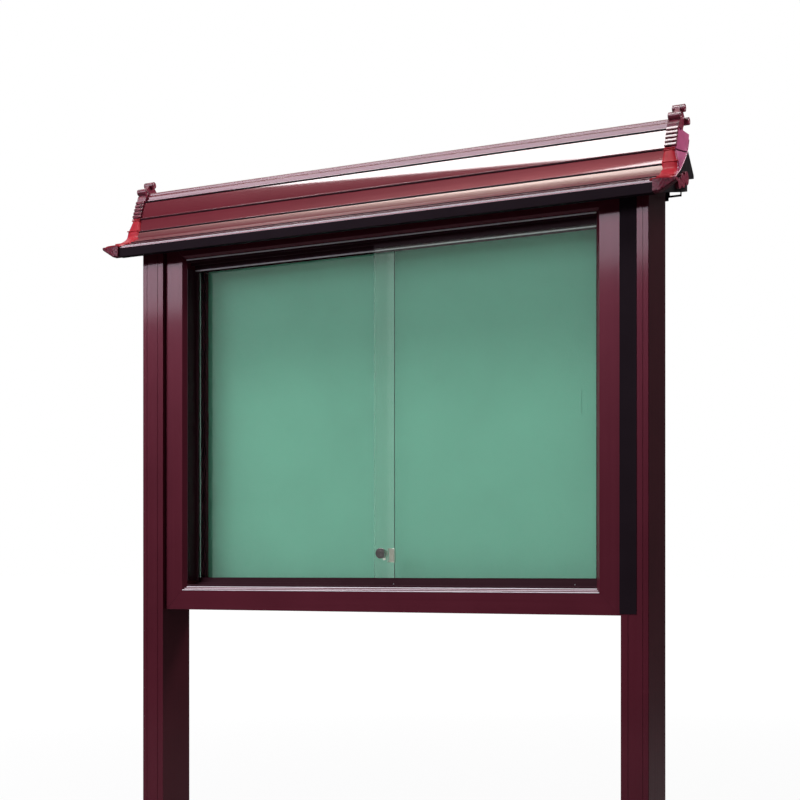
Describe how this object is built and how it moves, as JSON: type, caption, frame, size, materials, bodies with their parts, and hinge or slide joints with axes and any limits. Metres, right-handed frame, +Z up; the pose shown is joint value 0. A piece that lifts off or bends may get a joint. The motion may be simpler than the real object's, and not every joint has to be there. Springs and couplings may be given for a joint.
{
  "type": "lockable notice board",
  "caption": "Roofed outdoor notice board on posts: maroon metal case with a green display board behind lockable sliding glass doors.",
  "frame": {"origin": "on the ground under the middle of the roof footprint", "axes": "+X along the board to the right seen from the front, +Y from front to back, +Z up"},
  "size_m": [1.674, 0.282, 2.0837],
  "materials": {
    "backing_board": "plain foamed backing board",
    "clear_glass": "clear float glass with polished edges",
    "foot_steel": "maroon painted galvanised steel",
    "green_board": "matt green pinning sheet with a fine grain",
    "lock_metal": "satin nickel plated",
    "maroon_casting": "maroon stoved enamel on cast aluminium",
    "maroon_extrusion": "maroon stoved enamel on aluminium extrusion, satin",
    "maroon_inner": "dark maroon stoved enamel on aluminium",
    "maroon_roof": "crimson stoved enamel on aluminium extrusion, gloss",
    "nylon": "moulded nylon",
    "plain_aluminium": "mill finish",
    "zinc_steel": "bright zinc plated"
  },
  "bodies": {
    "cabinet": {"back_battens": "plain_aluminium", "back_panel": "maroon_extrusion", "back_screws": "zinc_steel", "backing_board": "backing_board", "barge_board_left": "maroon_casting", "barge_board_right": "maroon_casting", "closing_strip_right": "maroon_inner", "corner_keys": "plain_aluminium", "display_board": "green_board", "eave_cap_left": "maroon_casting", "eave_cap_right": "maroon_casting", "eave_moulding": "maroon_roof", "fascia": "maroon_roof", "finial_left": "maroon_casting", "finial_right": "maroon_casting", "foot_plate_left": "foot_steel", "foot_plate_right": "foot_steel", "frame_bolts": "zinc_steel", "frame_head": "maroon_extrusion", "frame_packers": "plain_aluminium", "frame_sill": "maroon_extrusion", "frame_stile_left": "maroon_extrusion", "frame_stile_right": "maroon_extrusion", "gable_ornament_left": "maroon_casting", "gable_ornament_right": "maroon_casting", "gable_plate_left": "maroon_casting", "gable_plate_right": "maroon_casting", "head_track": "maroon_inner", "jamb_left": "maroon_inner", "jamb_right": "maroon_inner", "post_left": "maroon_extrusion", "post_right": "maroon_extrusion", "rear_skirt": "maroon_roof", "ridge_cap": "maroon_roof", "ridge_deck": "plain_aluminium", "roof_base": "plain_aluminium", "roof_brackets": "plain_aluminium", "roof_panel_lower": "maroon_roof", "roof_panel_middle": "maroon_roof", "roof_panel_rear": "maroon_roof", "roof_panel_upper": "maroon_roof", "sill_track": "maroon_inner", "soffit_front": "maroon_roof"},
    "door_right": {"door_glass_right": "clear_glass", "door_guide_right": "maroon_inner", "door_shoe_right": "maroon_inner", "lock_body": "lock_metal", "lock_nut": "lock_metal", "roller_pins_right": "zinc_steel"},
    "door_left": {"door_glass_left": "clear_glass", "door_guide_left": "maroon_inner", "door_shoe_left": "maroon_inner", "lock_keeper": "lock_metal", "roller_pins_left": "zinc_steel"},
    "lock_cylinder": {"lock_cam": "lock_metal", "lock_plug": "lock_metal"},
    "roller_left_1": {"roller_left_1": "nylon"},
    "roller_left_2": {"roller_left_2": "nylon"},
    "roller_right_1": {"roller_right_1": "nylon"},
    "roller_right_2": {"roller_right_2": "nylon"}
  },
  "joints": [
    {"name": "door_right_slide", "type": "slide", "parent": "cabinet", "child": "door_right", "axis": [-1, 0, 0], "range_m": [0, 0.58]},
    {"name": "door_left_slide", "type": "slide", "parent": "cabinet", "child": "door_left", "axis": [1, 0, 0], "range_m": [0, 0.58]},
    {"name": "lock_turn", "type": "hinge", "parent": "door_right", "child": "lock_cylinder", "pos_m": [0, -0.0335, 1.004], "axis": [0, -1, 0], "range_deg": [0, 90]},
    {"name": "roller_right_1_spin", "type": "hinge", "parent": "door_right", "child": "roller_right_1", "pos_m": [0.04, -0.0275, 0.9238], "axis": [0, -1, 0], "range_deg": [0, 7400]},
    {"name": "roller_right_2_spin", "type": "hinge", "parent": "door_right", "child": "roller_right_2", "pos_m": [0.5465, -0.0275, 0.9238], "axis": [0, -1, 0], "range_deg": [0, 7400]},
    {"name": "roller_left_1_spin", "type": "hinge", "parent": "door_left", "child": "roller_left_1", "pos_m": [-0.5465, 0.0115, 0.9238], "axis": [0, 1, 0], "range_deg": [0, 7400]},
    {"name": "roller_left_2_spin", "type": "hinge", "parent": "door_left", "child": "roller_left_2", "pos_m": [-0.04, 0.0115, 0.9238], "axis": [0, 1, 0], "range_deg": [0, 7400]}
  ],
  "couplings": [
    {"joint": "roller_right_1_spin", "follows": "door_right_slide", "rad_per_m": 222.22},
    {"joint": "roller_right_2_spin", "follows": "door_right_slide", "rad_per_m": 222.22},
    {"joint": "roller_left_1_spin", "follows": "door_left_slide", "rad_per_m": 222.22},
    {"joint": "roller_left_2_spin", "follows": "door_left_slide", "rad_per_m": 222.22}
  ]
}
